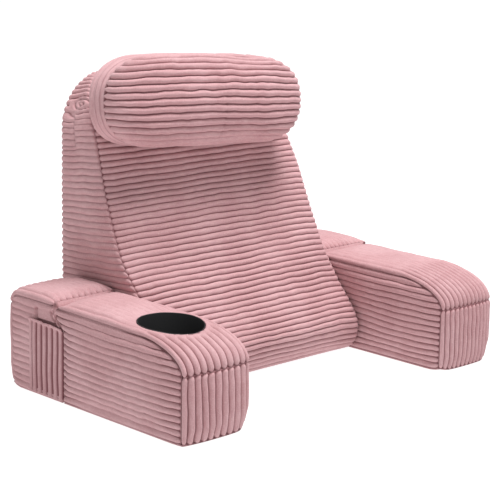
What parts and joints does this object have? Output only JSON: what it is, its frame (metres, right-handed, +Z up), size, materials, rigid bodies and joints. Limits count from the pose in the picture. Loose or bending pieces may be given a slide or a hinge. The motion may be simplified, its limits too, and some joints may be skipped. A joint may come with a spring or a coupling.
{
  "type": "reading pillow with arms",
  "caption": "Filled corduroy backrest pillow with a sloping front, two box-shaped arms, a head bolster, a cup well and a side pocket.",
  "frame": {"origin": "middle of the pillow's outline on the surface that it stands on", "axes": "+X across the seat, from the arm with the cup well to the plain arm; +Y towards the back; +Z up"},
  "size_m": [0.6922, 0.4366, 0.5053],
  "materials": {
    "corduroy": "soft wide-wale velvet corduroy, dusty pink, matt with a faint sheen",
    "liner": "matt black moulded cup liner"
  },
  "bodies": {
    "root": {"back_wedge": "corduroy", "head_bolster": "corduroy", "cup_arm_front": "corduroy", "cup_arm_rear": "corduroy", "plain_arm_front": "corduroy", "plain_arm_rear": "corduroy", "side_pocket": "corduroy", "cup_liner": "liner"}
  },
  "joints": []
}
